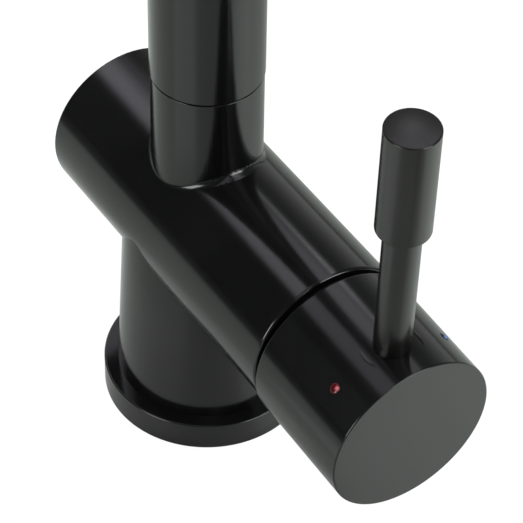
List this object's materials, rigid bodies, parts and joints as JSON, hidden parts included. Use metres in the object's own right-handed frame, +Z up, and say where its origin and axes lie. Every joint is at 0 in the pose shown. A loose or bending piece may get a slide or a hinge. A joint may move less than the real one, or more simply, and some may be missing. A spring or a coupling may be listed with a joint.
{
  "type": "pull-out kitchen mixer tap",
  "caption": "Black single-lever kitchen mixer tap: round pedestal, horizontal barrel with a tilting side lever cap, swivelling arched spout and pull-out handset.",
  "frame": {"origin": "centre of the base ring's underside, where the tap stands on the worktop", "axes": "+Z up, +X along the barrel towards the lever cap, -Y to the front, where the spout reaches at rest"},
  "size_m": [0.129, 0.2409, 0.4605],
  "materials": {
    "black_metal": "smooth gloss black over brass",
    "black_lever": "satin black over brass",
    "brass": "turned, uncoated",
    "steel": "plain",
    "rubber": "matt",
    "white_plastic": "moulded",
    "grey_plastic": "moulded",
    "black_plastic": "moulded",
    "ceramic": "lapped",
    "red_jewel": "clear red",
    "blue_jewel": "clear blue"
  },
  "bodies": {
    "tap_body": {"body_casting": "black_metal", "base_ring": "black_metal", "base_seal": "rubber", "threaded_shank": "brass", "inlet_block": "brass", "port_seals": "rubber", "rubber_washer": "rubber", "clamp_washer": "steel", "back_nut": "brass", "clamp_screws": "steel", "cartridge_base": "grey_plastic", "cartridge_seals": "rubber", "cartridge_housing": "white_plastic", "fixed_disc": "ceramic", "retaining_nut": "brass", "bonnet_ring": "black_plastic", "spout_stop_screw": "steel"},
    "rotor": {"cartridge_rotor": "white_plastic", "pivot_pin": "steel"},
    "handle": {"cartridge_stem": "brass", "handle_cap": "black_metal", "lever_rod": "black_lever", "lever_grip": "black_lever", "cap_grub_screw": "steel", "hot_mark": "red_jewel", "cold_mark": "blue_jewel"},
    "disc_slide": {"moving_disc": "ceramic", "disc_carrier": "grey_plastic"},
    "spout": {"spout_tube": "black_metal", "spout_bush": "brass", "swivel_rings": "white_plastic", "swivel_washer": "black_plastic", "docking_sleeve": "grey_plastic"},
    "handset": {"handset_shell": "black_metal", "handset_connector": "brass", "check_valve": "white_plastic", "hose_washer": "rubber", "nozzle_ring": "black_metal", "aerator_insert": "white_plastic"}
  },
  "joints": [
    {"name": "temperature", "type": "hinge", "parent": "tap_body", "child": "rotor", "pos_m": [0.036, 0, 0.0609], "axis": [1, 0, 0], "range_deg": [-45, 45]},
    {"name": "lever_lift", "type": "hinge", "parent": "rotor", "child": "handle", "pos_m": [0.036, 0, 0.0609], "axis": [0, 1, 0], "range_deg": [0, 25]},
    {"name": "disc_travel", "type": "slide", "parent": "rotor", "child": "disc_slide", "axis": [0, 0, 1], "range_m": [0, 0.0034]},
    {"name": "spout_swivel", "type": "hinge", "parent": "tap_body", "child": "spout", "pos_m": [0, 0, 0.1064], "axis": [0, 0, 1], "range_deg": [-75, 75]},
    {"name": "handset_pull", "type": "slide", "parent": "spout", "child": "handset", "axis": [0, 0, -1], "range_m": [0, 0.35], "stiffness_N_per_m": 3, "springref_m": -1.5}
  ],
  "couplings": [
    {"joint": "disc_travel", "follows": "lever_lift", "m_per_rad": 0.00769}
  ]
}
